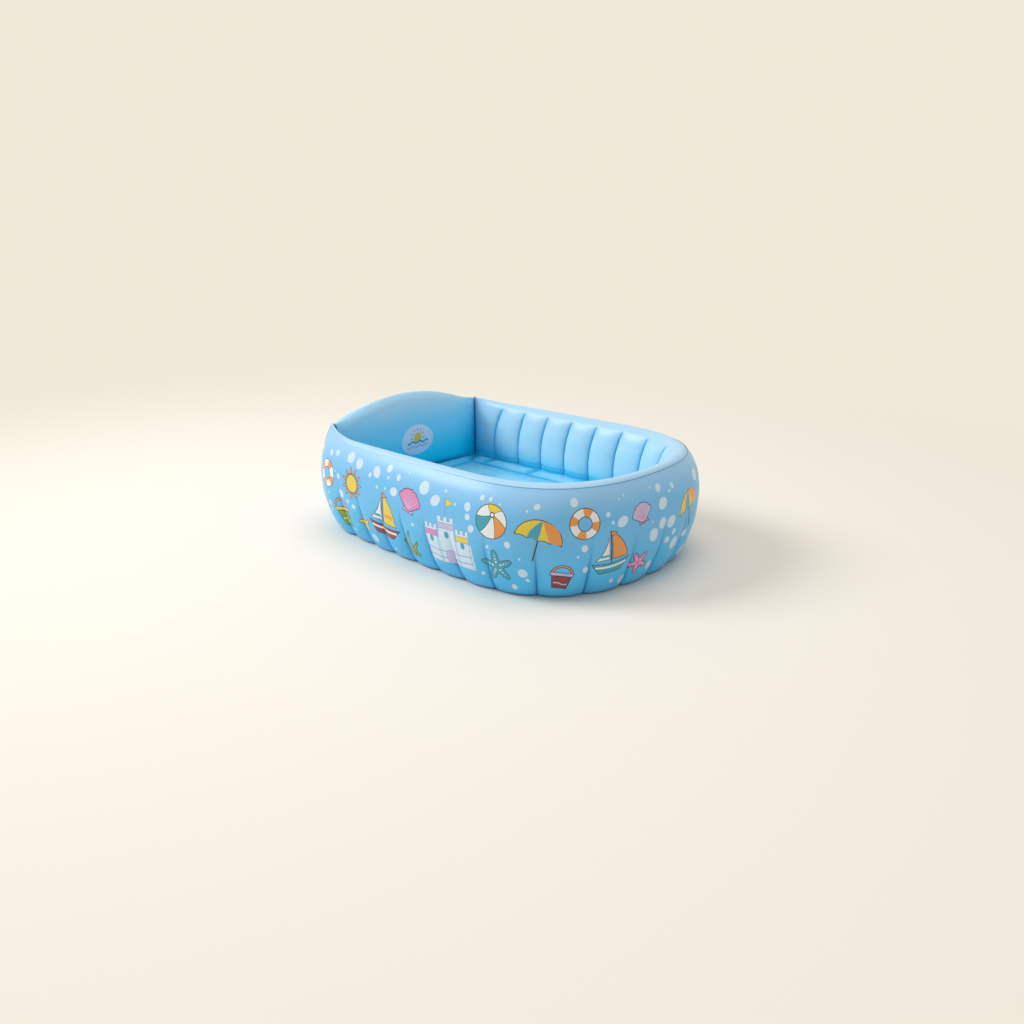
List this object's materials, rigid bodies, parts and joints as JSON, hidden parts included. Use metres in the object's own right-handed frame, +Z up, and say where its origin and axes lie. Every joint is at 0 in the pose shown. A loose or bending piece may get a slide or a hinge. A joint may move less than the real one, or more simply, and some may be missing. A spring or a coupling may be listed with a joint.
{
  "type": "inflatable bathtub",
  "caption": "Inflatable baby bathtub with a grooved air wall, a round foot end, an arched backrest pillow, a quilted air floor, plugged air valves and a floor drain.",
  "frame": {"origin": "middle of the flat underside of the bottom film, at floor level", "axes": "+Z up; +X along the tub towards its round foot end, with the backrest at -X; -Y is the long side nearest the viewer in the picture"},
  "size_m": [0.8813, 0.6548, 0.2972],
  "materials": {
    "outer_film": "glossy satin, printed",
    "rim_film": "glossy satin",
    "backrest_film": "glossy satin, one pale printed disc",
    "corner_divider": "satin",
    "floor_top_film": "glossy satin",
    "floor_bottom_film": "satin",
    "wall_web": "satin, translucent",
    "floor_web": "satin, translucent",
    "valve_seat": "satin",
    "valve_stem": "satin",
    "valve_flap": "matt",
    "valve_plug": "satin",
    "valve_strap": "satin",
    "drain_socket": "satin",
    "drain_plug": "satin",
    "drain_strap": "satin"
  },
  "bodies": {
    "tub": {"outer_film": "outer_film", "rim_film": "rim_film", "backrest_film": "backrest_film", "corner_divider_near": "corner_divider", "corner_divider_far": "corner_divider", "floor_top_film": "floor_top_film", "floor_bottom_film": "floor_bottom_film", "floor_border_web": "floor_web", "floor_web_near": "floor_web", "floor_web_far": "floor_web", "wall_web_01": "wall_web", "wall_web_02": "wall_web", "wall_web_03": "wall_web", "wall_web_04": "wall_web", "wall_web_05": "wall_web", "wall_web_06": "wall_web", "wall_web_07": "wall_web", "wall_web_08": "wall_web", "wall_web_09": "wall_web", "wall_web_10": "wall_web", "wall_web_11": "wall_web", "wall_web_12": "wall_web", "wall_web_13": "wall_web", "wall_web_14": "wall_web", "wall_web_15": "wall_web", "wall_web_16": "wall_web", "wall_web_17": "wall_web", "wall_web_18": "wall_web", "wall_web_19": "wall_web", "wall_web_20": "wall_web", "wall_web_21": "wall_web", "wall_valve_seat": "valve_seat", "backrest_valve_seat": "valve_seat", "floor_valve_seat": "valve_seat", "drain_socket": "drain_socket", "drain_strap": "drain_strap"},
    "wall_valve_stem": {"wall_valve_stem": "valve_stem", "wall_valve_strap": "valve_strap"},
    "wall_valve_flap": {"wall_valve_flap": "valve_flap"},
    "wall_valve_plug": {"wall_valve_plug": "valve_plug"},
    "backrest_valve_stem": {"backrest_valve_stem": "valve_stem", "backrest_valve_strap": "valve_strap"},
    "backrest_valve_flap": {"backrest_valve_flap": "valve_flap"},
    "backrest_valve_plug": {"backrest_valve_plug": "valve_plug"},
    "floor_valve_stem": {"floor_valve_stem": "valve_stem", "floor_valve_strap": "valve_strap"},
    "floor_valve_flap": {"floor_valve_flap": "valve_flap"},
    "floor_valve_plug": {"floor_valve_plug": "valve_plug"},
    "drain_plug": {"drain_plug": "drain_plug"}
  },
  "joints": [
    {"name": "wall_valve_pull", "type": "slide", "parent": "tub", "child": "wall_valve_stem", "axis": [-0.0167, 0.9999, 0], "range_m": [0, 0.01]},
    {"name": "wall_valve_flap_hinge", "type": "hinge", "parent": "wall_valve_stem", "child": "wall_valve_flap", "pos_m": [0.08486, 0.30051, 0.142], "axis": [0, 0, 1], "range_deg": [0, 35], "stiffness_Nm_per_rad": 0.0005},
    {"name": "wall_valve_plug_pull", "type": "slide", "parent": "wall_valve_stem", "child": "wall_valve_plug", "axis": [-0.0167, 0.9999, 0], "range_m": [0, 0.012], "deforming": ["wall_valve_strap"]},
    {"name": "backrest_valve_pull", "type": "slide", "parent": "tub", "child": "backrest_valve_stem", "axis": [-1, 0, 0], "range_m": [0, 0.01]},
    {"name": "backrest_valve_flap_hinge", "type": "hinge", "parent": "backrest_valve_stem", "child": "backrest_valve_flap", "pos_m": [-0.41387, 0.0056, 0.142], "axis": [0, 0, 1], "range_deg": [0, 35], "stiffness_Nm_per_rad": 0.0005},
    {"name": "backrest_valve_plug_pull", "type": "slide", "parent": "backrest_valve_stem", "child": "backrest_valve_plug", "axis": [-1, 0, 0], "range_m": [0, 0.012], "deforming": ["backrest_valve_strap"]},
    {"name": "floor_valve_pull", "type": "slide", "parent": "tub", "child": "floor_valve_stem", "axis": [0, 0, 1], "range_m": [0, 0.01]},
    {"name": "floor_valve_flap_hinge", "type": "hinge", "parent": "floor_valve_stem", "child": "floor_valve_flap", "pos_m": [-0.1444, -0.125, 0.07587], "axis": [0, -1, 0], "range_deg": [0, 35], "stiffness_Nm_per_rad": 0.0005},
    {"name": "floor_valve_plug_pull", "type": "slide", "parent": "floor_valve_stem", "child": "floor_valve_plug", "axis": [0, 0, 1], "range_m": [0, 0.012], "deforming": ["floor_valve_strap"]},
    {"name": "drain_plug_pull", "type": "slide", "parent": "tub", "child": "drain_plug", "axis": [0, 0, 1], "range_m": [0, 0.015], "deforming": ["drain_strap"]}
  ]
}
